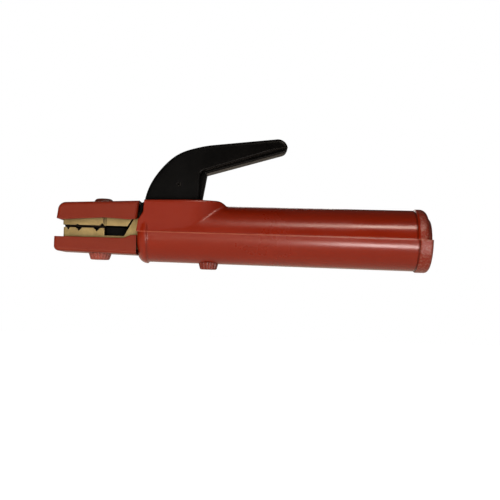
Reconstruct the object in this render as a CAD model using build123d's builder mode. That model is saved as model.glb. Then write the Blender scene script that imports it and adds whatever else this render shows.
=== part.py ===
from build123d import *
import os
from math import cos, radians, sin

# Tong-type welding electrode holder, in millimetres.
# Origin: centre of the cable opening in the rear face of the handle.
# +X runs along the handle, out of its rear end; +Z points to the lever; the jaws are at -X.

os.makedirs("parts", exist_ok=True)

# ---------------------------------------------------------------- driving dimensions
# handle
handle_front_x = -191.8
handle_front_r = 18.9
handle_rear_r = 20.2
collar_length = 8.8
collar_r = 21.0
front_bead_r = 19.9
front_bead_length = 6.5
bore_r = 16.2
cable_mouth_r = 12.5
cable_mouth_depth = 8.0
hump_front_z = 20.5
hump_top_z = 21.8
hump_straight_end_x = -162.0
hump_rear_x = -133.5
slot_half_width = 12.6
slot_rear_x = -141.4
seam_height = 0.5
seam_rise = 0.22

# jaws
jaw_half_width = 11.0
jaw_front_x = -240.0
jaw_rear_x = -213.3
lower_jaw_top_z = 1.8
upper_jaw_bottom_z = 3.5
upper_jaw_front_top_z = 15.7
upper_jaw_rear_top_z = 17.9
keel_bottom_z = 2.3
keel_half_width = 7.0
jaw_corner_r = 1.2
lower_jaw_bottom_z = -11.4
pocket_floor_z = -3.0
pocket_rear_x = -200.3
neck_top_z = 8.7

# pivot
pivot_x = -172.0
pivot_z = 5.0
pivot_r = 3.5
pivot_clearance = 0.05
knuckle_r = 7.5
arm_half_width = 4.6
arm_side_clearance = 0.65

# lever
lever_half_width = 11.5
rib_half_width = 7.4
lever_pin_x = -165.8
lever_pin_z = 31.9
lever_pin_r = 1.25

# insulators
insulator_half_width = 14.0
insulator_gap = 0.15
upper_insulator_edge_z = 7.4
lower_insulator_edge_z = -4.4
upper_tip_x = -244.4
lower_tip_x = -245.5

# screws
upper_screw_x = -216.0
lower_screw_x = -217.3
handle_screw_x = -145.3
upper_screw_seat_z = 18.8
lower_screw_seat_z = -14.1
handle_screw_seat_z = -18.3
jaw_screw_r = 2.5
handle_screw_r = 3.0
upper_cap_r = 6.3
lower_cap_r = 7.6
handle_cap_r = 6.7
spot_face_gap = 0.2
clearance_hole = 0.3
thread_gap = 0.02
through = 20.0

# spring
spring_x = -154.0
spring_wire_r = 0.85
spring_mean_r = 4.2
spring_turns = 5.5
spring_seat_z = -9.0
spring_cup_thickness = 1.4
spring_cup_r = 6.2
spigot_height = 1.8

# cable socket
socket_rear_x = -96.0
socket_front_x = -144.0
socket_r = 12.5
socket_bore_r = 8.0
socket_bore_front_x = -138.0
sleeve_wall = 0.9
sleeve_gap = 0.05
clamp_screw_xs = (-128.0, -112.0)
clamp_screw_r = 4.0
clamp_screw_length = 4.3

pivot_plane = Plane(origin=(pivot_x, 0, pivot_z), x_dir=(1, 0, 0), z_dir=(0, -1, 0))


def save(part, name):
    """Labels a finished piece and writes it as parts/NAME.step."""
    part.label = name
    export_step(part, f"parts/{name}.step")


def handle_radius(x):
    """Outer radius of the tapered handle at x."""
    share = (x - handle_front_x) / (-collar_length - handle_front_x)
    return handle_front_r + share * (handle_rear_r - handle_front_r)


# ---------------------------------------------------------------- handle
collar_x = -collar_length
bead_end_x = handle_front_x + front_bead_length
groove_depth = 0.5
groove_width = 0.9
mouth_lip_r = 14.2
collar_mismatch = 1.3
rim_mismatch = 1.9
collar_edge = 0.6
lower_rear_round = 2.6
upper_rear_round = 4.8


def barrel(collar_shift, rim_x, rear_round):
    """Tapered barrel with a front bead, a fine groove and a rear collar whose rim sits at rim_x."""
    collar_front = collar_x + collar_shift
    with BuildSketch(Plane.XZ) as profile:
        with BuildLine():
            nose = Line((handle_front_x, 0), (handle_front_x, 13.9))
            corner = ThreePointArc(nose @ 1, (-190.0, 17.9), (handle_front_x + 5.6, front_bead_r))
            top = Polyline(
                corner @ 1,
                (bead_end_x, front_bead_r),
                (bead_end_x + 1.0, handle_radius(bead_end_x)),
                (collar_front - groove_width, handle_radius(collar_x) - 0.02),
                (collar_front - groove_width, handle_radius(collar_x) - groove_depth),
                (collar_front, handle_radius(collar_x) - groove_depth),
                (collar_front, collar_r - collar_edge),
                (collar_front + collar_edge, collar_r),
                (rim_x - rear_round, collar_r),
            )
            crown = RadiusArc(top @ 1, (rim_x, collar_r - rear_round), rear_round)
            Polyline(
                crown @ 1,
                (rim_x, mouth_lip_r + 0.6 - rim_x),
                (0, mouth_lip_r),
                (0, 0),
                nose @ 0,
            )
        make_face()
    return revolve(profile.sketch, axis=Axis.X, mode=Mode.PRIVATE)


with BuildPart() as handle:
    # the two halves of the mould meet at Z = 0, the upper one a little short at the rear
    add(split(barrel(0, 0, lower_rear_round), bisect_by=Plane.XY, keep=Keep.BOTTOM, mode=Mode.PRIVATE))
    upper_barrel = barrel(-collar_mismatch, -rim_mismatch, upper_rear_round)
    add(split(upper_barrel, bisect_by=Plane.XY, keep=Keep.TOP, mode=Mode.PRIVATE))
    # hump around the lever: flat sides, rounded rear end in plan, rolled-off rear top
    with BuildSketch(Plane.XY):
        with BuildLine():
            left = Line((hump_straight_end_x, handle_front_r), (handle_front_x, handle_front_r))
            front = Line(left @ 1, (handle_front_x, -handle_front_r))
            right = Line(front @ 1, (hump_straight_end_x, -handle_front_r))
            Spline(
                right @ 1,
                (hump_straight_end_x + 17.0, -handle_front_r + 3.9),
                (hump_rear_x, 0),
                (hump_straight_end_x + 17.0, handle_front_r - 3.9),
                left @ 0,
                tangents=[(1, 0), (-1, 0)],
            )
        make_face()
    hump_block = extrude(amount=hump_top_z + 2, mode=Mode.PRIVATE)
    with BuildSketch(Plane.XZ):
        with BuildLine():
            deck = Line((handle_front_x - 1, hump_front_z), (-141.5, hump_top_z))
            roll_off = ThreePointArc(deck @ 1, (-136.4, 20.6), (hump_rear_x + 0.4, 17.0))
            Polyline(
                roll_off @ 1,
                (-125.0, 17.0),
                (-125.0, hump_top_z + 4),
                (handle_front_x - 1, hump_top_z + 4),
                deck @ 0,
            )
        make_face()
    above_hump = extrude(amount=30, both=True, mode=Mode.PRIVATE)
    add(hump_block - above_hump)
    rim = handle.edges().filter_by(lambda e: e.center().Z > hump_front_z + 0.1)
    fillet(rim, radius=1.3)
    hump_foot = handle.edges().filter_by(
        lambda e: e.geom_type == GeomType.BSPLINE
        and e.length > 25
        and 13 < abs(e.center().Y) < 18
        and e.center().Z < 14
    )
    fillet(hump_foot, radius=3.0)
    # parting line left by the two halves of the mould, on both sides
    seam_end_x = collar_x - groove_width - collar_mismatch
    for side in (1, -1):
        with BuildSketch(Plane.XY):
            with BuildLine():
                Polyline(
                    (bead_end_x, side * (handle_front_r - 1)),
                    (bead_end_x, side * (handle_radius(bead_end_x) + seam_rise)),
                    (seam_end_x, side * (handle_radius(collar_x) + seam_rise)),
                    (seam_end_x, side * (handle_front_r - 1)),
                    close=True,
                )
            make_face()
        extrude(amount=seam_height / 2, both=True)
    # bore, cable mouth and lever slot
    with BuildSketch(Plane.YZ.offset(-cable_mouth_depth)):
        Circle(bore_r)
    extrude(amount=handle_front_x, mode=Mode.SUBTRACT)
    with BuildSketch(Plane.YZ.offset(-cable_mouth_depth)):
        Circle(cable_mouth_r)
    extrude(amount=cable_mouth_depth, mode=Mode.SUBTRACT)
    with BuildSketch(Plane.XY):
        with BuildLine():
            Polyline(
                (slot_rear_x - 4, slot_half_width),
                (handle_front_x - 2, slot_half_width),
                (handle_front_x - 2, -slot_half_width),
                (slot_rear_x - 4, -slot_half_width),
            )
            Polyline(
                (slot_rear_x - 4, -slot_half_width),
                (slot_rear_x, -slot_half_width + 4),
                (slot_rear_x, slot_half_width - 4),
                (slot_rear_x - 4, slot_half_width),
            )
        make_face()
    extrude(amount=hump_top_z + 5, mode=Mode.SUBTRACT)
    # front edges of the hump's side walls lean back, to clear the opening jaw
    with BuildSketch(Plane.XZ):
        with BuildLine():
            Polyline(
                (handle_front_x - 4, -1.0),
                (handle_front_x, -1.0),
                (handle_front_x + 1.2, 7.4),
                (handle_front_x + 4.4, 12.7),
                (handle_front_x + 5.0, 26.0),
                (handle_front_x - 4, 26.0),
                close=True,
            )
        make_face()
    extrude(amount=30, both=True, mode=Mode.SUBTRACT)
    # spot face and hole for the retaining screw
    with BuildSketch(Plane.XY.offset(handle_screw_seat_z)):
        with Locations((handle_screw_x, 0)):
            Circle(handle_cap_r + spot_face_gap)
    extrude(amount=-6, mode=Mode.SUBTRACT)
    with BuildSketch(Plane.XY.offset(handle_screw_seat_z - 2)):
        with Locations((handle_screw_x, 0)):
            Circle(handle_screw_r + clearance_hole)
    extrude(amount=8, mode=Mode.SUBTRACT)
save(handle.part, "handle")


# ---------------------------------------------------------------- lower jaw and body casting
def side_prism(points, half_width, mode=Mode.ADD):
    """Extrudes a closed side outline, given as (x, z) points, across +-half_width."""
    with BuildSketch(Plane.XZ) as outline:
        with BuildLine():
            Polyline(*points, close=True)
        make_face()
    return extrude(outline.sketch, amount=half_width, both=True, mode=mode)


def cut_groove(x, z, half_opening, depth, turn=0.0):
    """Cuts a V-groove for an electrode, open downwards or upwards by the sign of depth."""
    across = Plane(
        origin=(x, 0, z),
        x_dir=(cos(radians(turn)), sin(radians(turn)), 0),
        z_dir=(sin(radians(turn)), -cos(radians(turn)), 0),
    )
    with BuildSketch(across) as outline:
        with BuildLine():
            Polyline((-half_opening, 0), (0, depth), (half_opening, 0), close=True)
        make_face()
    extrude(outline.sketch, amount=through, both=True, mode=Mode.SUBTRACT)


neck_front_x = -194.0
fork_front_x = -199.4
fork_rear_x = -161.0
body_fit_r = 15.95
centring_ring_x = -186.0
screw_block_length = 12.0
screw_block_height = 8.0
stop_gap = 0.05
stop_half_width = 7.5
stop_top_z = 3.2

with BuildPart() as jaw_body:
    side_prism(
        [
            (jaw_front_x, lower_jaw_bottom_z),
            (jaw_front_x, lower_jaw_top_z),
            (jaw_rear_x, lower_jaw_top_z),
            (jaw_rear_x, pocket_floor_z),
            (pocket_rear_x, pocket_floor_z),
            (neck_front_x, neck_top_z),
            (pivot_x, neck_top_z),
            (pivot_x + knuckle_r, pivot_z),
            (pivot_x + knuckle_r, spring_seat_z),
            (socket_front_x + 2, spring_seat_z),
            (socket_front_x + 2, lower_jaw_bottom_z),
        ],
        jaw_half_width,
    )
    front_edges = jaw_body.edges().filter_by(Axis.Z).group_by(Axis.X)[0]
    fillet(front_edges, radius=jaw_corner_r)
    with BuildSketch(pivot_plane):
        Circle(knuckle_r)
    extrude(amount=jaw_half_width, both=True)
    # ring that centres the casting in the mouth of the handle
    with BuildSketch(Plane.YZ.offset(centring_ring_x)):
        Circle(body_fit_r)
        with Locations((0, 20 + neck_top_z)):
            Rectangle(40, 40, mode=Mode.SUBTRACT)
    extrude(amount=5.0)
    # slot for the arm of the upper jaw
    with BuildSketch(Plane.XY.offset(pocket_floor_z)):
        with Locations(((fork_front_x + fork_rear_x) / 2, 0)):
            Rectangle(fork_rear_x - fork_front_x, 2 * (arm_half_width + arm_side_clearance))
    extrude(amount=through, mode=Mode.SUBTRACT)
    # block for the handle's screw, shaped to the bore of the handle
    with BuildSketch(Plane.YZ.offset(handle_screw_x - screw_block_length / 2)):
        Circle(body_fit_r)
        with Locations((0, spring_seat_z - screw_block_height / 2)):
            Rectangle(14, screw_block_height, mode=Mode.INTERSECT)
    extrude(amount=screw_block_length)
    # cable socket with its centring ring
    with BuildSketch(Plane.YZ.offset(socket_front_x)):
        Circle(socket_r)
    extrude(amount=socket_rear_x - socket_front_x)
    with BuildSketch(Plane.YZ.offset(socket_rear_x - 8)):
        Circle(body_fit_r)
    extrude(amount=6)
    with BuildSketch(Plane.YZ.offset(socket_bore_front_x)):
        Circle(socket_bore_r)
    extrude(amount=60, mode=Mode.SUBTRACT)
    # holes: pivot, cable clamp screws, retaining screw, insulator screw
    with BuildSketch(pivot_plane):
        Circle(pivot_r + thread_gap)
    extrude(amount=through, both=True, mode=Mode.SUBTRACT)
    with BuildSketch(Plane.XY):
        with Locations(*[(x, 0) for x in clamp_screw_xs]):
            Circle(clamp_screw_r + thread_gap)
    extrude(amount=through, mode=Mode.SUBTRACT)
    with BuildSketch(Plane.XY.offset(-through)):
        with Locations((handle_screw_x, 0)):
            Circle(handle_screw_r + thread_gap)
    extrude(amount=12, mode=Mode.SUBTRACT)
    with BuildSketch(Plane.XY.offset(-through)):
        with Locations((lower_screw_x, 0)):
            Circle(jaw_screw_r + thread_gap)
    extrude(amount=17, mode=Mode.SUBTRACT)
    # electrode grooves
    cut_groove(-234.5, lower_jaw_top_z, 0.95, -1.9, turn=-12.0)
    cut_groove(-225.6, lower_jaw_top_z, 2.0, -2.2, turn=-22.0)
    cut_groove(-216.75, lower_jaw_top_z, 2.1, -2.3, turn=-8.0)
save(jaw_body.part, "jaw_body")

# insulating stop block that lies in the pocket behind the lower jaw
with BuildPart() as jaw_stop:
    side_prism(
        [
            (jaw_rear_x + stop_gap, pocket_floor_z),
            (jaw_rear_x + stop_gap, stop_top_z),
            (fork_front_x + 1.7, stop_top_z),
            (fork_front_x - 1.5, pocket_floor_z),
        ],
        stop_half_width,
    )
    chamfer(jaw_stop.edges().group_by(Axis.Z)[-1], length=0.5)
save(jaw_stop.part, "jaw_stop")

# ---------------------------------------------------------------- upper jaw with its arm and tang
upper_jaw_front_x = -240.4
upper_jaw_rear_x = -193.6
arm_underside_z = 10.5

with BuildPart() as upper_jaw:
    side_prism(
        [
            (upper_jaw_front_x, upper_jaw_bottom_z),
            (upper_jaw_front_x, upper_jaw_front_top_z),
            (upper_jaw_rear_x, upper_jaw_rear_top_z),
            (upper_jaw_rear_x, 9.6),
            (-194.6, 9.6),
            (-198.3, upper_jaw_bottom_z),
        ],
        jaw_half_width,
    )
    front_edges = upper_jaw.edges().filter_by(Axis.Z).group_by(Axis.X)[0]
    fillet(front_edges, radius=jaw_corner_r)
    # keel along the middle of the gripping face
    side_prism(
        [
            (upper_jaw_front_x + 0.6, keel_bottom_z),
            (upper_jaw_front_x + 0.6, upper_jaw_bottom_z + 1),
            (jaw_rear_x - 0.9, upper_jaw_bottom_z + 1),
            (jaw_rear_x - 0.9, keel_bottom_z),
        ],
        keel_half_width,
    )
    # arm over the pivot, tang inside the lever, spring arm behind the pivot
    side_prism(
        [
            (-198.0, 3.6),
            (-198.0, 13.0),
            (-184.0, 13.0),
            (-181.0, 26.0),
            (-176.0, 37.0),
            (-167.5, 45.5),
            (-155.0, 50.2),
            (-126.0, 54.6),
            (-126.0, 50.8),
            (-152.0, 45.0),
            (-159.0, 40.0),
            (-161.0, 24.0),
            (-161.0, 15.5),
            (-148.0, 15.5),
            (-148.0, arm_underside_z),
            (-164.0, arm_underside_z),
            (pivot_x + 5.5, pivot_z - 3),
            (pivot_x, pivot_z - 3),
        ],
        arm_half_width,
    )
    with BuildSketch(pivot_plane):
        Circle(knuckle_r - 0.4)
    extrude(amount=arm_half_width, both=True)
    with BuildSketch(pivot_plane):
        Circle(pivot_r + pivot_clearance)
    extrude(amount=through, both=True, mode=Mode.SUBTRACT)
    # threaded hole for the insulator screw
    with BuildSketch(Plane.XY.offset(6.0)):
        with Locations((upper_screw_x, 0)):
            Circle(jaw_screw_r + thread_gap)
    extrude(amount=through, mode=Mode.SUBTRACT)
    # hole for the lever's pin
    with BuildSketch(Plane.XZ):
        with Locations((lever_pin_x, lever_pin_z)):
            Circle(lever_pin_r + thread_gap)
    extrude(amount=through, both=True, mode=Mode.SUBTRACT)
    # electrode grooves, and the relief slots on the flanks behind the gripping face
    cut_groove(-226.6, upper_jaw_bottom_z, 1.2, 0.7, turn=-22.0)
    cut_groove(-214.9, upper_jaw_bottom_z, 1.4, 1.6)
    for side in (1, -1):
        with BuildSketch(Plane.XY.offset(upper_jaw_bottom_z - 1)):
            with Locations((-213.0, side * jaw_half_width)):
                Rectangle(2.4, 2.2)
        extrude(amount=16, mode=Mode.SUBTRACT)
save(upper_jaw.part, "upper_jaw")

# ---------------------------------------------------------------- lever
nose_top = (-102.4, 63.74)
nose_end = (-95.2, 58.4)
nose_bottom = (-98.6, 54.92)
rib_end = (-95.3, 58.4)

# narrower rib under the lever and behind its root, softly rounded along its free edge
with BuildPart() as rib:
    with BuildSketch(Plane.XZ):
        with BuildLine():
            under = Line(nose_bottom, (-148.1, 39.95))
            rear = Line(under @ 1, (-152.3, 14.0))
            inside = Polyline(
                rear @ 1,
                (-158.0, 14.0),
                (-158.0, 40.0),
                (-104.0, 59.0),
                (-99.0, 60.0),
                rib_end,
            )
            ThreePointArc(inside @ 1, (-96.5, 56.2), under @ 0)
        make_face()
    extrude(amount=rib_half_width, both=True)
    free_edges = rib.edges().filter_by(
        lambda e: abs(abs(e.center().Y) - rib_half_width) < 0.01
        and e.length > 20
        and e.center().X > -151.0
        and e.center().Z < 48.0
    )
    fillet(free_edges, radius=1.2)

with BuildPart() as lever:
    # main moulding
    with BuildSketch(Plane.XZ):
        with BuildLine():
            back = Spline(
                (-188.0, 19.8),
                (-183.4, 33.6),
                (-175.8, 44.2),
                (-164.4, 53.2),
                (-152.8, 57.0),
                (-142.6, 58.85),
                tangents=[(0.15, 1.0), (40.2, 4.89)],
            )
            ridge = Line(back @ 1, nose_top)
            nose = TangentArc(ridge @ 1, nose_end, tangent=ridge % 1)
            under = Polyline(nose @ 1, (-99.9, 57.5), (-150.0, 41.3))
            elbow = TangentArc(under @ 1, (-152.0, 38.7), tangent=under % 1)
            Polyline(elbow @ 1, (-152.9, 12.6), (-162.6, 12.6), (-163.2, 9.8))
            ThreePointArc((-163.2, 9.8), (pivot_x, pivot_z + 10), (-180.8, 9.8))
            Polyline((-180.8, 9.8), (-190.5, 9.8), (-190.3, 18.6), back @ 0)
        make_face()
    extrude(amount=lever_half_width, both=True)
    outer_edges = lever.edges().filter_by(
        lambda e: abs(abs(e.center().Y) - lever_half_width) < 0.01 and e.center().Z > 21.0
    )
    crest = outer_edges.filter_by(lambda e: e.center().Z > 58.0 or e.geom_type == GeomType.BSPLINE)
    fillet(crest, radius=2.4)
    lower_edges = lever.edges().filter_by(
        lambda e: abs(abs(e.center().Y) - lever_half_width) < 0.01
        and e.center().X > -154.0
        and e.center().Z < 50.0
        and (e.length > 20 or e.geom_type == GeomType.CIRCLE)
    )
    fillet(lower_edges, radius=1.3)
    add(rib.part)
    # pocket moulded round the tang, and the pin hole through both
    add(upper_jaw.part, mode=Mode.SUBTRACT)
    with BuildSketch(Plane.XZ):
        with Locations((lever_pin_x, lever_pin_z)):
            Circle(lever_pin_r + thread_gap)
    extrude(amount=through, both=True, mode=Mode.SUBTRACT)
save(lever.part, "lever")

with BuildPart() as lever_pin:
    with BuildSketch(Plane.XZ):
        with Locations((lever_pin_x, lever_pin_z)):
            Circle(lever_pin_r)
            Circle(lever_pin_r - 0.5, mode=Mode.SUBTRACT)
        with Locations((lever_pin_x, lever_pin_z + lever_pin_r)):
            Rectangle(0.5, 1.6, mode=Mode.SUBTRACT)
    extrude(amount=lever_half_width - 0.5, both=True)
save(lever_pin.part, "lever_pin")


# ---------------------------------------------------------------- pivot
clip_y = jaw_half_width + 0.1
clip_thickness = 0.9
clip_r = 5.2
clip_groove_depth = 0.7
pin_head_r = 5.0
pin_head_thickness = 1.3
pin_end = 1.8
washer_r = 6.4
washer_thickness = 0.5
washer_gap = 0.05

with BuildPart() as pivot_pin:
    with BuildSketch(pivot_plane.offset(-clip_y - pin_end)):
        Circle(pivot_r)
    extrude(amount=2 * clip_y + pin_end)
    with BuildSketch(pivot_plane.offset(clip_y - 0.05)):
        Circle(pin_head_r)
    extrude(amount=pin_head_thickness)
    with BuildSketch(pivot_plane.offset(-clip_y - clip_thickness - 0.05)):
        Circle(pivot_r + 1)
        Circle(pivot_r - clip_groove_depth, mode=Mode.SUBTRACT)
    extrude(amount=clip_thickness + 0.05, mode=Mode.SUBTRACT)
save(pivot_pin.part, "pivot_pin")

with BuildPart() as pivot_clip:
    with BuildSketch(pivot_plane.offset(-clip_y - clip_thickness)):
        Circle(clip_r)
        Circle(pivot_r - clip_groove_depth + 0.05, mode=Mode.SUBTRACT)
        with Locations((0, -4.0)):
            Rectangle(4.2, 5.0, mode=Mode.SUBTRACT)
    extrude(amount=clip_thickness - 0.05)
save(pivot_clip.part, "pivot_clip")

with BuildPart() as pivot_washers:
    for side in (1, -1):
        with BuildSketch(pivot_plane.offset(side * (arm_half_width + washer_gap))):
            Circle(washer_r)
            Circle(pivot_r + 0.1, mode=Mode.SUBTRACT)
        extrude(amount=side * washer_thickness)
save(pivot_washers.part, "pivot_washers")

# ---------------------------------------------------------------- return spring
cup_gap = 0.02
coil_bottom = spring_seat_z + spring_cup_thickness + spring_wire_r + 2 * cup_gap
coil_top = arm_underside_z - spring_cup_thickness - spring_wire_r - 2 * cup_gap
coil_height = coil_top - coil_bottom

with BuildPart() as return_spring:
    with BuildLine():
        coil = Helix(
            pitch=coil_height / spring_turns,
            height=coil_height,
            radius=spring_mean_r,
            center=(spring_x, 0, coil_bottom),
        )
    with BuildSketch(Plane(origin=coil @ 0, z_dir=coil % 0)):
        Circle(spring_wire_r)
    sweep()
save(return_spring.part, "return_spring")

for name, seat_z, side in (
    ("lower_spring_cup", spring_seat_z + cup_gap, 1),
    ("upper_spring_cup", arm_underside_z - cup_gap, -1),
):
    with BuildPart() as cup:
        with BuildSketch(Plane.XY.offset(seat_z)):
            with Locations((spring_x, 0)):
                Circle(spring_cup_r)
        extrude(amount=side * spring_cup_thickness)
        with BuildSketch(Plane.XY.offset(seat_z + side * spring_cup_thickness)):
            with Locations((spring_x, 0)):
                Circle(spring_mean_r - spring_wire_r - 0.2)
        extrude(amount=side * spigot_height, taper=8)
    save(cup.part, name)

# ---------------------------------------------------------------- jaw insulators
wall_inside = jaw_half_width + insulator_gap
insulator_rear_x = -191.9
pocket_end_x = -185.0
roof_rise = upper_jaw_rear_top_z - upper_jaw_front_top_z
roof_slope = roof_rise / (upper_jaw_rear_x - upper_jaw_front_x)
roof_front_z = upper_jaw_front_top_z + insulator_gap

with BuildPart() as upper_insulator:
    with BuildSketch(Plane.XZ):
        with BuildLine():
            sill = Polyline(
                (-192.0, 8.5),
                (-197.0, 7.8),
                (-213.0, 8.6),
                (-236.0, 7.0),
                (-240.5, 6.6),
                (upper_tip_x, upper_insulator_edge_z),
            )
            tip = Line(sill @ 1, (upper_tip_x + 0.7, 12.8))
            brow = ThreePointArc(tip @ 1, (upper_tip_x + 2.0, 16.3), (upper_tip_x + 5.6, 18.1))
            Polyline(brow @ 1, (-190.9, 20.4), sill @ 0)
        make_face()
    extrude(amount=insulator_half_width, both=True)
    tip_edges = upper_insulator.edges().filter_by(
        lambda e: abs(abs(e.center().Y) - insulator_half_width) < 0.01 and e.center().Z > 9.5
    )
    fillet(tip_edges, radius=2.0)
    # space for the brass jaw
    side_prism(
        [
            (upper_jaw_front_x - insulator_gap, 0),
            (upper_jaw_front_x - insulator_gap, roof_front_z),
            (pocket_end_x, roof_front_z + roof_slope * (pocket_end_x - upper_jaw_front_x)),
            (pocket_end_x, 0),
        ],
        wall_inside,
        Mode.SUBTRACT,
    )
    with BuildSketch(Plane.XY.offset(upper_screw_seat_z)):
        with Locations((upper_screw_x, 0)):
            Circle(upper_cap_r + spot_face_gap)
    extrude(amount=5, mode=Mode.SUBTRACT)
    with BuildSketch(Plane.XY.offset(10)):
        with Locations((upper_screw_x, 0)):
            Circle(jaw_screw_r + clearance_hole)
    extrude(amount=through, mode=Mode.SUBTRACT)
save(upper_insulator.part, "upper_insulator")

with BuildPart() as lower_insulator:
    with BuildSketch(Plane.XZ):
        with BuildLine():
            sill = Polyline(
                (insulator_rear_x, -2.2),
                (-195.6, -2.4),
                (-200.2, lower_insulator_edge_z),
                (lower_tip_x, lower_insulator_edge_z),
                (lower_tip_x, -10.8),
            )
            chin = ThreePointArc(sill @ 1, (lower_tip_x + 1.0, -12.9), (lower_tip_x + 3.6, -13.8))
            Polyline(chin @ 1, (insulator_rear_x, -14.8), sill @ 0)
        make_face()
    extrude(amount=insulator_half_width, both=True)
    chin_edges = lower_insulator.edges().filter_by(
        lambda e: abs(abs(e.center().Y) - insulator_half_width) < 0.01
        and (e.center().Z < -12 or e.center().X < lower_tip_x + 0.5)
    )
    fillet(chin_edges, radius=2.0)
    side_prism(
        [
            (jaw_front_x - insulator_gap, lower_jaw_bottom_z - insulator_gap),
            (jaw_front_x - insulator_gap, 5),
            (pocket_end_x, 5),
            (pocket_end_x, lower_jaw_bottom_z - insulator_gap),
        ],
        wall_inside,
        Mode.SUBTRACT,
    )
    with BuildSketch(Plane.XY.offset(lower_screw_seat_z)):
        with Locations((lower_screw_x, 0)):
            Circle(lower_cap_r + spot_face_gap)
    extrude(amount=-5, mode=Mode.SUBTRACT)
    with BuildSketch(Plane.XY.offset(-through)):
        with Locations((lower_screw_x, 0)):
            Circle(jaw_screw_r + clearance_hole)
    extrude(amount=12, mode=Mode.SUBTRACT)
save(lower_insulator.part, "lower_insulator")


# ---------------------------------------------------------------- insulated screws
def insulated_screw(name, x, seat_z, out, shank_r, shank_length, base_r, height, taper, rim_radius, flutes):
    """Steel screw whose head is moulded into an insulating cap. out is +1 upwards, -1 downwards."""
    slot_depth = 0.8
    seat = Plane(origin=(x, 0, seat_z), x_dir=(1, 0, 0), z_dir=(0, 0, out))
    head_r = shank_r + 1.7
    head_base = 0.9
    head_height = 1.4
    with BuildPart() as screw:
        with BuildSketch(seat.offset(-shank_length)):
            Circle(shank_r)
        extrude(amount=shank_length + head_base + head_height)
        with BuildSketch(seat.offset(head_base)):
            Circle(head_r)
        extrude(amount=head_height)
        tip_edge = screw.edges().group_by(Axis.Z)[0 if out > 0 else -1]
        chamfer(tip_edge, length=0.5)
    save(screw.part, name)
    with BuildPart() as cap:
        with BuildSketch(seat):
            Circle(base_r)
        extrude(amount=height, taper=taper)
        rim = cap.edges().filter_by(GeomType.CIRCLE).group_by(Axis.Z)[0 if out < 0 else -1]
        fillet(rim, radius=rim_radius)
        if flutes:
            with Locations(seat):
                with PolarLocations(base_r + 0.35, flutes):
                    Cylinder(0.75, 3 * height, rotation=(0, -taper, 0), mode=Mode.SUBTRACT)
        with BuildSketch(seat.offset(height)):
            Rectangle(20, 1.3)
        extrude(amount=-slot_depth, mode=Mode.SUBTRACT)
        add(screw.part, mode=Mode.SUBTRACT)
    save(cap.part, name + "_cap")


insulated_screw(
    "upper_insulator_screw",
    upper_screw_x,
    upper_screw_seat_z,
    out=1,
    shank_r=jaw_screw_r,
    shank_length=11,
    base_r=upper_cap_r,
    height=3.1,
    taper=4,
    rim_radius=2.4,
    flutes=0,
)
insulated_screw(
    "lower_insulator_screw",
    lower_screw_x,
    lower_screw_seat_z,
    out=-1,
    shank_r=jaw_screw_r,
    shank_length=10,
    base_r=lower_cap_r,
    height=4.5,
    taper=18,
    rim_radius=1.2,
    flutes=18,
)
insulated_screw(
    "handle_screw",
    handle_screw_x,
    handle_screw_seat_z,
    out=-1,
    shank_r=handle_screw_r,
    shank_length=8.5,
    base_r=handle_cap_r,
    height=4.7,
    taper=15,
    rim_radius=1.2,
    flutes=16,
)

# ---------------------------------------------------------------- cable clamp
sleeve_r = socket_bore_r - sleeve_gap
clamp_screw_tip_z = sleeve_r + thread_gap

with BuildPart() as cable_sleeve:
    with BuildSketch(Plane.YZ.offset(socket_bore_front_x + 0.5)):
        Circle(sleeve_r)
        Circle(sleeve_r - sleeve_wall, mode=Mode.SUBTRACT)
        with Locations((0, -sleeve_r)):
            Rectangle(1.6, 4, mode=Mode.SUBTRACT)
    extrude(amount=socket_rear_x - socket_bore_front_x - 0.5)
save(cable_sleeve.part, "cable_sleeve")

with BuildPart() as cable_clamp_screws:
    with BuildSketch(Plane.XY.offset(clamp_screw_tip_z)):
        with Locations(*[(x, 0) for x in clamp_screw_xs]):
            Circle(clamp_screw_r)
    extrude(amount=clamp_screw_length)
    with BuildSketch(Plane.XY.offset(clamp_screw_tip_z + clamp_screw_length)):
        with Locations(*[(x, 0) for x in clamp_screw_xs]):
            RegularPolygon(radius=2.0, side_count=6, major_radius=False)
    extrude(amount=-2.4, mode=Mode.SUBTRACT)
save(cable_clamp_screws.part, "cable_clamp_screws")
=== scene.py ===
import bmesh
import bpy
import math
from mathutils import Matrix, Vector


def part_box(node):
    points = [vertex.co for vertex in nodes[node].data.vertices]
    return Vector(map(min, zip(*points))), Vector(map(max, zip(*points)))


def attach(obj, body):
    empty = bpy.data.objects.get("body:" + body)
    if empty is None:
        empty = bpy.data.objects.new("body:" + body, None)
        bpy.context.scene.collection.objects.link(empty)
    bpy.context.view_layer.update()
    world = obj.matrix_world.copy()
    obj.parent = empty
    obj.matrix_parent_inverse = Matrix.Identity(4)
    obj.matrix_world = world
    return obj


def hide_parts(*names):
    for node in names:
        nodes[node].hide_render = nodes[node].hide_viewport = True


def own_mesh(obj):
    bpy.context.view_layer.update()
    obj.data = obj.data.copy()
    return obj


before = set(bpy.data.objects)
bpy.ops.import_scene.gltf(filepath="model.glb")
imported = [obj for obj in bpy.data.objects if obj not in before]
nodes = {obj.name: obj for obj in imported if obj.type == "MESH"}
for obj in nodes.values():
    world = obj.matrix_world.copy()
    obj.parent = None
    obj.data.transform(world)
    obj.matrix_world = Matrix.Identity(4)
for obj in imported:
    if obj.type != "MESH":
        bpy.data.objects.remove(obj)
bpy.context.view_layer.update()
scene = bpy.context.scene
scene.view_settings.view_transform = "Standard"
scene.view_settings.look = "None"

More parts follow.
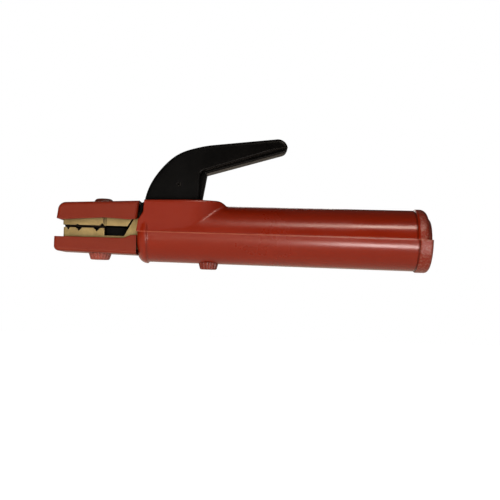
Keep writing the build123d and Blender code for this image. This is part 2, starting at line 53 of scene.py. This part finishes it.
# places on the holder that the materials refer to
collar_skin_x = -0.0092
collar_fade = 0.0006
dull_from_x = -0.05
dull_to_x = -0.15
parting_line_half_height = 0.00045
lever_root_x = -0.165
lever_finger_x = -0.12
gap_low_z = 0.0018
gap_high_z = 0.0036
gap_rear_x = -0.199
soot_shade_fade_z = 0.0002
soot_shade_fade_x = 0.002


# ------------------------------------------------------------------ node helpers
class Nodes:
    """A material's node tree with short calls to add and join nodes."""

    def __init__(self, name):
        self.material = bpy.data.materials.new(name)
        self.material.use_nodes = True
        self.tree = self.material.node_tree
        self.tree.nodes.clear()
        self.out = self.tree.nodes.new("ShaderNodeOutputMaterial")
        self.where = self.add("ShaderNodeTexCoord").outputs["Object"]

    def add(self, kind, inputs=None, **settings):
        node = self.tree.nodes.new(kind)
        for key, value in settings.items():
            setattr(node, key, value)
        for key, value in (inputs or {}).items():
            self.put(node.inputs[key], value)
        return node

    def put(self, socket, value):
        if isinstance(value, bpy.types.NodeSocket):
            self.tree.links.new(value, socket)
        else:
            socket.default_value = value

    def math(self, operation, a, b=0.0, clamp=False):
        node = self.add("ShaderNodeMath", {0: a, 1: b}, operation=operation, use_clamp=clamp)
        return node.outputs[0]

    def noise(self, scale, detail=4.0, roughness=0.5, stretch=None, distortion=0.0):
        where = self.where
        if stretch:
            where = self.add("ShaderNodeMapping", {"Vector": where, "Scale": stretch}).outputs[0]
        inputs = {"Vector": where, "Scale": scale, "Detail": detail, "Roughness": roughness,
                  "Distortion": distortion}
        return self.add("ShaderNodeTexNoise", inputs).outputs["Fac"]

    def remap(self, value, low, high, to_low=0.0, to_high=1.0):
        inputs = {"Value": value, "From Min": low, "From Max": high, "To Min": to_low, "To Max": to_high}
        return self.add("ShaderNodeMapRange", inputs).outputs[0]

    def mix(self, factor, a, b, blend="MIX"):
        node = self.add("ShaderNodeMix", data_type="RGBA", blend_type=blend)
        self.put(node.inputs[0], factor)
        self.put(node.inputs[6], a)
        self.put(node.inputs[7], b)
        return node.outputs[2]

    def bump(self, height, strength, distance, normal=None):
        inputs = {"Height": height, "Strength": strength, "Distance": distance}
        if normal is not None:
            inputs["Normal"] = normal
        return self.add("ShaderNodeBump", inputs).outputs[0]

    def edge_wear(self, radius, worn_dot):
        """0 on flat areas, 1 on edges, where the bevelled and true normals' dot product is worn_dot."""
        flat_dot = 0.965
        soft = self.add("ShaderNodeBevel", {"Radius": radius}, samples=6).outputs[0]
        hard = self.add("ShaderNodeNewGeometry").outputs["Normal"]
        dot = self.add("ShaderNodeVectorMath", {0: soft, 1: hard}, operation="DOT_PRODUCT")
        return self.remap(dot.outputs["Value"], flat_dot, worn_dot)

    def cavity(self, distance):
        """1 in the open, 0 deep in a gap."""
        return self.add("ShaderNodeAmbientOcclusion", {"Distance": distance}, samples=8).outputs["AO"]

    def finish(self, **inputs):
        shader = self.add("ShaderNodeBsdfPrincipled")
        for key, value in inputs.items():
            self.put(shader.inputs[key.replace("_", " ")], value)
        self.tree.links.new(shader.outputs[0], self.out.inputs["Surface"])
        return self.material


def rgb(r, g, b):
    return (r, g, b, 1.0)


# soot together with painted shade, for the dark gap between the jaws
soot_and_gap_shade = rgb(0.014, 0.011, 0.009)
# painted shade for the hollows and gaps of the resin mouldings
resin_gap_shade = rgb(0.006, 0.003, 0.002)
# pale collar grain that also stands for a painted highlight
collar_grain_and_sheen = rgb(0.36, 0.15, 0.11)
# pale seam tint: rubbed flash, partly a painted highlight
pale_seam_and_sheen = rgb(0.52, 0.135, 0.075)


# ------------------------------------------------------------------ materials
def moulded_resin(name, colour, dark, light, gloss, speckle, edge=0.0007, handle=False):
    """Moulded thermoset: cloudy colour, faint flow streaks, fine fibres, softly glossy skin."""
    m = Nodes(name)
    cloud = m.noise(28.0, 5.0, 0.6)
    streak = m.noise(40.0, 4.0, 0.6, stretch=(0.25, 2.2, 2.2), distortion=0.4)
    fibre = m.noise(900.0, 2.0, 0.6, stretch=(0.6, 1.6, 1.6))
    tone = m.mix(m.remap(cloud, 0.3, 0.7, 0.0, 0.6), colour, dark)
    tone = m.mix(m.remap(streak, 0.45, 0.75, 0.0, 0.25), tone, light)
    tone = m.mix(m.remap(fibre, 0.62, 0.8, 0.0, speckle), tone, light)
    wear = m.math("MULTIPLY", m.edge_wear(edge, 0.8), m.remap(m.noise(120.0), 0.35, 0.65), clamp=True)
    tone = m.mix(m.math("MULTIPLY", wear, 0.5), tone, light)
    # painted shade: the AO mask darkens the colour in gaps and hollows
    open_air = m.remap(m.cavity(0.004), 0.3, 0.9)
    tone = m.mix(open_air, m.mix(0.7, tone, resin_gap_shade), tone)
    rough = m.remap(m.noise(35.0, 5.0, 0.65), 0.3, 0.7, gloss - 0.04, gloss + 0.06)
    grain = 0.0
    if handle:
        # duller towards the jaws, with a rough, grainy collar at the rear whose pale pits are partly
        # painted highlight
        along, _, height = m.add("ShaderNodeSeparateXYZ", {0: m.where}).outputs
        rough = m.math("ADD", rough, m.remap(along, dull_from_x, dull_to_x, 0.0, 0.12))
        collar = m.remap(along, collar_skin_x, collar_skin_x + collar_fade)
        pits = m.noise(700.0, 3.0, 0.7)
        grain = m.math("MULTIPLY", collar, pits)
        rough = m.math("ADD", rough, m.math("MULTIPLY", collar, 0.13))
        # pale pits: grain on the collar, partly a painted highlight
        pale_pits_and_sheen = m.math("MULTIPLY", collar, m.remap(pits, 0.48, 0.66, 0.0, 0.8))
        tone = m.mix(pale_pits_and_sheen, tone, collar_grain_and_sheen)
        # pale line where the halves of the mould met: rubbed flash, partly a painted highlight
        away = m.math("ABSOLUTE", height)
        near = m.remap(away, parting_line_half_height, parting_line_half_height / 2)
        broken = m.remap(m.noise(150.0, 3.0, 0.6, stretch=(0.6, 1.0, 1.0)), 0.30, 0.55, 0.35, 1.0)
        line = m.math("MULTIPLY", near, broken, clamp=True)
        tone = m.mix(m.math("MULTIPLY", line, 0.6), tone, pale_seam_and_sheen)
        rough = m.math("ADD", rough, m.math("MULTIPLY", line, 0.25))
    soft_edge = m.add("ShaderNodeBevel", {"Radius": edge}, samples=8).outputs[0]
    normal = m.bump(m.noise(260.0, 3.0, 0.5), strength=0.10, distance=0.0002, normal=soft_edge)
    normal = m.bump(fibre, strength=0.08, distance=0.00005, normal=normal)
    normal = m.bump(m.noise(16.0, 2.0, 0.4), strength=0.12, distance=0.0006, normal=normal)
    if handle:
        normal = m.bump(grain, strength=0.9, distance=0.0004, normal=normal)
    return m.finish(Base_Color=tone, Roughness=rough, Normal=normal, IOR=1.5)


def black_resin(name):
    """Satin black moulding: greyer towards its root, near black under the finger end."""
    root_grey = rgb(0.0024, 0.0026, 0.0029)
    cloud_grey = rgb(0.0044, 0.0048, 0.0053)
    finger_black = rgb(0.0003, 0.0003, 0.0003)
    fibre_grey = rgb(0.03, 0.028, 0.026)
    scuffed_grey = rgb(0.05, 0.047, 0.045)
    # painted shade for the gaps round the black mouldings
    black_gap_shade = rgb(0.0005, 0.0005, 0.0005)
    m = Nodes(name)
    cloud = m.noise(45.0, 4.0, 0.55)
    fibre = m.noise(1100.0, 2.0, 0.6)
    along = m.add("ShaderNodeSeparateXYZ", {0: m.where}).outputs["X"]
    tone = m.mix(m.remap(cloud, 0.3, 0.7), root_grey, cloud_grey)
    tone = m.mix(m.remap(along, lever_root_x, lever_finger_x), tone, finger_black)
    tone = m.mix(m.remap(fibre, 0.66, 0.85, 0.0, 0.3), tone, fibre_grey)
    wear = m.math("MULTIPLY", m.edge_wear(0.0008, 0.8), m.remap(m.noise(150.0), 0.4, 0.7), clamp=True)
    tone = m.mix(m.math("MULTIPLY", wear, 0.6), tone, scuffed_grey)
    # painted shade: the AO mask turns the colour near black in gaps and lowers the specular level there
    open_air = m.remap(m.cavity(0.005), 0.35, 0.8)
    tone = m.mix(open_air, black_gap_shade, tone)
    shine = m.math("MULTIPLY", open_air, 0.23, clamp=True)
    rough = m.remap(m.noise(70.0, 5.0, 0.6), 0.3, 0.7, 0.30, 0.44)
    soft_edge = m.add("ShaderNodeBevel", {"Radius": 0.0007}, samples=6).outputs[0]
    normal = m.bump(m.noise(420.0, 3.0, 0.5), strength=0.18, distance=0.0001, normal=soft_edge)
    normal = m.bump(fibre, strength=0.12, distance=0.00004, normal=normal)
    return m.finish(Base_Color=tone, Roughness=rough, Normal=normal, IOR=1.34, Specular_IOR_Level=shine)


def cast_brass(name, tarnish):
    """Sand-cast brass: dull olive tarnish with brighter rubbed edges and painted shade in the gaps."""
    dull_yellow = rgb(0.52, 0.40, 0.17)
    clean_yellow = rgb(0.69, 0.54, 0.25)
    tarnish_brown = rgb(0.34, 0.24, 0.105)
    # painted shade for gaps and pockets in the brass
    gap_shade_colour = rgb(0.012, 0.010, 0.009)
    rubbed_edge = rgb(0.80, 0.64, 0.36)
    m = Nodes(name)
    patch = m.noise(90.0, 6.0, 0.65)
    grain = m.noise(700.0, 3.0, 0.6)
    tone = m.mix(m.remap(patch, 0.35, 0.65), dull_yellow, clean_yellow)
    stain = m.remap(m.noise(38.0, 5.0, 0.7, distortion=0.6), 0.42, 0.68, 0.0, tarnish)
    tone = m.mix(stain, tone, tarnish_brown)
    # painted shade: the AO mask darkens the colour to near black in gaps and pockets
    open_air = m.remap(m.cavity(0.006), 0.2, 0.85)
    tone = m.mix(open_air, gap_shade_colour, tone)
    wear = m.math("MULTIPLY", m.edge_wear(0.0005, 0.85), m.remap(m.noise(180.0), 0.3, 0.6), clamp=True)
    tone = m.mix(m.math("MULTIPLY", wear, 0.6), tone, rubbed_edge)
    # soot and painted shade on the faces between the jaws, where the arc meets them
    along, _, height = m.add("ShaderNodeSeparateXYZ", {0: m.where}).outputs
    above_lower = m.remap(height, gap_low_z, gap_low_z + soot_shade_fade_z)
    below_upper = m.remap(height, gap_high_z, gap_high_z - soot_shade_fade_z)
    between = m.math("MULTIPLY", above_lower, below_upper)
    soot_and_shade_mask = m.math("MULTIPLY", between, m.remap(along, gap_rear_x, gap_rear_x - soot_shade_fade_x))
    tone = m.mix(soot_and_shade_mask, tone, soot_and_gap_shade)
    rough = m.remap(m.noise(150.0, 4.0, 0.6), 0.3, 0.7, 0.36, 0.58)
    soft_edge = m.add("ShaderNodeBevel", {"Radius": 0.0004}, samples=6).outputs[0]
    normal = m.bump(grain, strength=0.25, distance=0.00012, normal=soft_edge)
    normal = m.bump(m.noise(130.0, 3.0, 0.5), strength=0.3, distance=0.0004, normal=normal)
    return m.finish(Base_Color=tone, Roughness=rough, Normal=normal, Metallic=0.62)


def plated_steel(name, colour, roughness, around=None):
    """Plated steel with fine turning marks round the axis direction given."""
    dull = rgb(*(0.7 * channel for channel in colour[:3]))
    # painted shade for narrow gaps round the steel parts
    gap_shade_colour = rgb(0.02, 0.017, 0.014)
    m = Nodes(name)
    tone = m.mix(m.remap(m.noise(220.0, 4.0, 0.6), 0.3, 0.7), colour, dull)
    # painted shade: the AO mask darkens the colour in narrow gaps
    open_air = m.remap(m.cavity(0.002), 0.3, 0.9)
    tone = m.mix(open_air, gap_shade_colour, tone)
    rough = m.remap(m.noise(500.0, 3.0, 0.6), 0.3, 0.7, roughness - 0.08, roughness + 0.08)
    soft_edge = m.add("ShaderNodeBevel", {"Radius": 0.0002}, samples=6).outputs[0]
    turning = m.noise(1500.0, 2.0, 0.5, stretch=around or (1.0, 1.0, 0.15))
    normal = m.bump(turning, strength=0.15, distance=0.00004, normal=soft_edge)
    return m.finish(Base_Color=tone, Roughness=rough, Normal=normal, Metallic=1.0)


def fibre_board(name):
    """Brown pressed board whose layers show as fine lines round its edge."""
    brown = rgb(0.16, 0.075, 0.03)
    light_brown = rgb(0.26, 0.14, 0.06)
    fleck_brown = rgb(0.08, 0.035, 0.015)
    m = Nodes(name)
    layers = m.noise(1200.0, 2.0, 0.6, stretch=(0.1, 0.1, 1.0))
    tone = m.mix(m.remap(layers, 0.35, 0.65), brown, light_brown)
    tone = m.mix(m.remap(m.noise(300.0), 0.55, 0.75, 0.0, 0.4), tone, fleck_brown)
    normal = m.bump(layers, strength=0.3, distance=0.0001)
    return m.finish(Base_Color=tone, Roughness=0.7, Normal=normal)


handle_resin = moulded_resin(
    "handle_resin",
    colour=rgb(0.272, 0.0150, 0.0008),
    dark=rgb(0.225, 0.0100, 0.0006),
    light=rgb(0.34, 0.026, 0.003),
    gloss=0.20,
    speckle=0.12,
    edge=0.0012,
    handle=True,
)
jaw_resin = moulded_resin(
    "jaw_resin",
    colour=rgb(0.235, 0.0200, 0.0045),
    dark=rgb(0.175, 0.0130, 0.0035),
    light=rgb(0.31, 0.036, 0.010),
    gloss=0.38,
    speckle=0.4,
)
cap_resin = moulded_resin(
    "cap_resin",
    colour=rgb(0.23, 0.026, 0.014),
    dark=rgb(0.17, 0.018, 0.010),
    light=rgb(0.34, 0.075, 0.055),
    gloss=0.36,
    speckle=0.5,
)
# a paler copy of cap_resin: painted highlight on the lower insulator screw's cap
cap_resin_painted_highlight = moulded_resin(
    "cap_resin_painted_highlight",
    colour=rgb(0.36, 0.070, 0.052),
    dark=rgb(0.28, 0.046, 0.034),
    light=rgb(0.50, 0.17, 0.14),
    gloss=0.36,
    speckle=0.5,
)
dark_cap_resin = moulded_resin(
    "dark_cap_resin",
    colour=rgb(0.110, 0.018, 0.009),
    dark=rgb(0.075, 0.012, 0.006),
    light=rgb(0.20, 0.040, 0.020),
    gloss=0.55,
    speckle=0.4,
)
lever_resin = black_resin("lever_resin")
jaw_brass = cast_brass("jaw_brass", tarnish=0.75)
sleeve_brass = cast_brass("sleeve_brass", tarnish=0.4)
zinc_steel = plated_steel("zinc_steel", rgb(0.60, 0.58, 0.52), roughness=0.3)
pin_steel = plated_steel("pin_steel", rgb(0.14, 0.14, 0.14), roughness=0.40, around=(1.0, 0.15, 1.0))
spring_steel = plated_steel("spring_steel", rgb(0.30, 0.29, 0.28), roughness=0.32)
spring_fibre = fibre_board("spring_fibre")

finishes = {
    "handle": handle_resin,
    "handle_screw": zinc_steel,
    "handle_screw_cap": cap_resin,
    "jaw_body": jaw_brass,
    "jaw_stop": lever_resin,
    "lower_insulator": jaw_resin,
    "lower_insulator_screw": zinc_steel,
    "lower_insulator_screw_cap": cap_resin_painted_highlight,
    "pivot_pin": pin_steel,
    "pivot_clip": spring_steel,
    "pivot_washers": spring_steel,
    "return_spring": spring_steel,
    "lower_spring_cup": spring_fibre,
    "cable_sleeve": sleeve_brass,
    "cable_clamp_screws": zinc_steel,
    "upper_jaw": jaw_brass,
    "lever": lever_resin,
    "lever_pin": pin_steel,
    "upper_insulator": jaw_resin,
    "upper_insulator_screw": zinc_steel,
    "upper_insulator_screw_cap": dark_cap_resin,
    "upper_spring_cup": spring_fibre,
}
for name, material in finishes.items():
    mesh = nodes[name].data
    mesh.materials.clear()
    mesh.materials.append(material)


# ------------------------------------------------------------------ return spring
def wire_spring(name, centre, coil_radius, wire_radius, bottom, top, turns):
    """Round-wire compression spring with closed ends, as one tube along a helix."""
    sides = 12
    steps_per_turn = 36
    end_closing = 0.09
    steps = int(turns * steps_per_turn)
    shape = bmesh.new()
    rings = []
    for i in range(steps + 1):
        share = i / steps
        angle = 2 * math.pi * turns * share
        closed = share - end_closing * math.sin(2 * math.pi * share)
        z = bottom + (top - bottom) * closed
        radial = Vector((math.cos(angle), math.sin(angle), 0))
        point = Vector(centre) + radial * coil_radius + Vector((0, 0, z))
        ring = []
        for j in range(sides):
            around = 2 * math.pi * j / sides
            offset = radial * math.cos(around) + Vector((0, 0, math.sin(around)))
            ring.append(shape.verts.new(point + offset * wire_radius))
        rings.append(ring)
    for near, far in zip(rings, rings[1:]):
        for j in range(sides):
            k = (j + 1) % sides
            shape.faces.new((near[j], near[k], far[k], far[j]))
    shape.faces.new(reversed(rings[0]))
    shape.faces.new(rings[-1])
    bmesh.ops.recalc_face_normals(shape, faces=shape.faces)
    mesh = bpy.data.meshes.new(name)
    shape.to_mesh(mesh)
    shape.free()
    mesh.polygons.foreach_set("use_smooth", [len(f.vertices) == 4 for f in mesh.polygons])
    piece = bpy.data.objects.new(name, mesh)
    scene.collection.objects.link(piece)
    return piece


spring_low, spring_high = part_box("return_spring")
spring_wire_radius = 0.00085
spring_centre = ((spring_low[0] + spring_high[0]) / 2, (spring_low[1] + spring_high[1]) / 2, 0)
spring = wire_spring(
    "coil_spring",
    spring_centre,
    coil_radius=0.0042,
    wire_radius=spring_wire_radius,
    bottom=spring_low[2] + spring_wire_radius,
    top=spring_high[2] - spring_wire_radius,
    turns=6.5,
)
spring.data.materials.append(spring_steel)
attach(spring, "holder_body")
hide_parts("return_spring")
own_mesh(spring)

# ------------------------------------------------------------------ stage
floor_z = -0.25
floor_size = 6.0
middle_x = -0.12
bpy.ops.mesh.primitive_plane_add(size=floor_size, location=(middle_x, 0.0, floor_z))
floor = bpy.context.object
floor.name = "floor"
paper = Nodes("floor_paper")
rays = paper.add("ShaderNodeLightPath").outputs
# white to the camera, warm in what it throws back onto the holder
bounce = paper.mix(rays["Is Camera Ray"], rgb(0.9, 0.79, 0.66), rgb(0.9, 0.9, 0.9))
lit = paper.add("ShaderNodeBsdfDiffuse", {"Color": bounce})
mirrored = paper.math("MULTIPLY", rays["Is Glossy Ray"], 0.18)
shown = paper.math("ADD", rays["Is Camera Ray"], mirrored)
tint = paper.mix(rays["Is Glossy Ray"], rgb(1, 1, 1), rgb(1.0, 0.88, 0.77))
glow = paper.add("ShaderNodeEmission", {"Color": tint, "Strength": shown})
both = paper.add("ShaderNodeAddShader", {0: lit.outputs[0], 1: glow.outputs[0]})
paper.tree.links.new(both.outputs[0], paper.out.inputs["Surface"])
floor.data.materials.append(paper.material)

# dim warm room, white where the camera sees it
world = bpy.data.worlds.new("studio")
scene.world = world
world.use_nodes = True
tree = world.node_tree
tree.nodes.clear()
room = tree.nodes.new("ShaderNodeBackground")
room.inputs["Color"].default_value = rgb(1.0, 0.88, 0.76)
room.inputs["Strength"].default_value = 0.06
white = tree.nodes.new("ShaderNodeBackground")
white.inputs["Color"].default_value = rgb(1, 1, 1)
white.inputs["Strength"].default_value = 1.0
choose = tree.nodes.new("ShaderNodeMixShader")
path = tree.nodes.new("ShaderNodeLightPath")
sky = tree.nodes.new("ShaderNodeOutputWorld")
tree.links.new(path.outputs["Is Camera Ray"], choose.inputs[0])
tree.links.new(room.outputs[0], choose.inputs[1])
tree.links.new(white.outputs[0], choose.inputs[2])
tree.links.new(choose.outputs[0], sky.inputs["Surface"])


def softbox(name, place, target, size, power, colour, kind, fade=0.0):
    """Area light aimed at target, for "diffuse" or "glossy" rays only.

    fade is the share of its width that ramps up from dark.
    """
    light = bpy.data.lights.new(name, "AREA")
    light.shape = "RECTANGLE"
    light.size, light.size_y = size
    light.energy = power
    light.color = colour
    if fade:
        light.use_nodes = True
        lamp = light.node_tree
        across = lamp.nodes.new("ShaderNodeSeparateXYZ")
        ramp = lamp.nodes.new("ShaderNodeMapRange")
        ramp.interpolation_type = "SMOOTHSTEP"
        ramp.inputs["From Min"].default_value = 0.0
        ramp.inputs["From Max"].default_value = fade
        glow = lamp.nodes["Emission"]
        lamp.links.new(lamp.nodes.new("ShaderNodeNewGeometry").outputs["Parametric"], across.inputs[0])
        lamp.links.new(across.outputs["X"], ramp.inputs["Value"])
        lamp.links.new(ramp.outputs[0], glow.inputs["Strength"])
    holder = bpy.data.objects.new(name, light)
    scene.collection.objects.link(holder)
    holder.location = place
    aim = Vector(target) - Vector(place)
    holder.rotation_euler = aim.to_track_quat("-Z", "Y").to_euler()
    holder.visible_camera = False
    holder.visible_glossy = kind == "glossy"
    holder.visible_diffuse = kind == "diffuse"


# two long streaks on the handle
softbox(
    "upper_strip",
    place=(0.120, -0.46, 0.52),
    target=(-0.04, 0, 0),
    size=(0.64, 0.12),
    power=3.3,
    colour=(1.0, 0.86, 0.74),
    kind="glossy",
    fade=0.34,
)
softbox(
    "lower_strip",
    place=(0.060, -0.285, -0.132),
    target=(0, 0, 0),
    size=(0.30, 0.05),
    power=0.84,
    colour=(1.0, 0.90, 0.87),
    kind="glossy",
    fade=0.25,
)
# broad light on the front and on the back
softbox(
    "front_fill",
    place=(-0.34, -1.0, -0.06),
    target=(-0.14, 0, 0),
    size=(0.9, 0.4),
    power=8.8,
    colour=(1.0, 0.93, 0.84),
    kind="diffuse",
)
softbox(
    "back_fill",
    place=(-0.35, 0.95, 0.45),
    target=(middle_x, 0, 0),
    size=(0.9, 0.7),
    power=7.5,
    colour=(1.0, 0.96, 0.91),
    kind="diffuse",
)
softbox(
    "back_glow",
    place=(-0.30, 0.95, 0.35),
    target=(middle_x, 0, 0),
    size=(0.7, 0.3),
    power=1.2,
    colour=(1.0, 0.96, 0.91),
    kind="glossy",
)

# ------------------------------------------------------------------ camera
focal_length = 61.2
camera_place = (-0.118, -0.564, -0.03377)
pitch = math.radians(2.5)
roll = math.radians(1.72)

lens = bpy.data.cameras.new("camera")
lens.sensor_width = 36.0
lens.lens = focal_length
lens.clip_start = 0.01
lens.clip_end = 20.0
camera = bpy.data.objects.new("camera", lens)
scene.collection.objects.link(camera)
scene.camera = camera
view = Vector((0.0, math.cos(pitch), math.sin(pitch)))
level_up = Vector((0.0, -math.sin(pitch), math.cos(pitch)))
level_right = Vector((1, 0, 0))
right = level_right * math.cos(roll) + level_up * math.sin(roll)
up = level_up * math.cos(roll) - level_right * math.sin(roll)
turn = Matrix((right, up, -view)).transposed()
camera.rotation_euler = turn.to_euler()
camera.location = camera_place
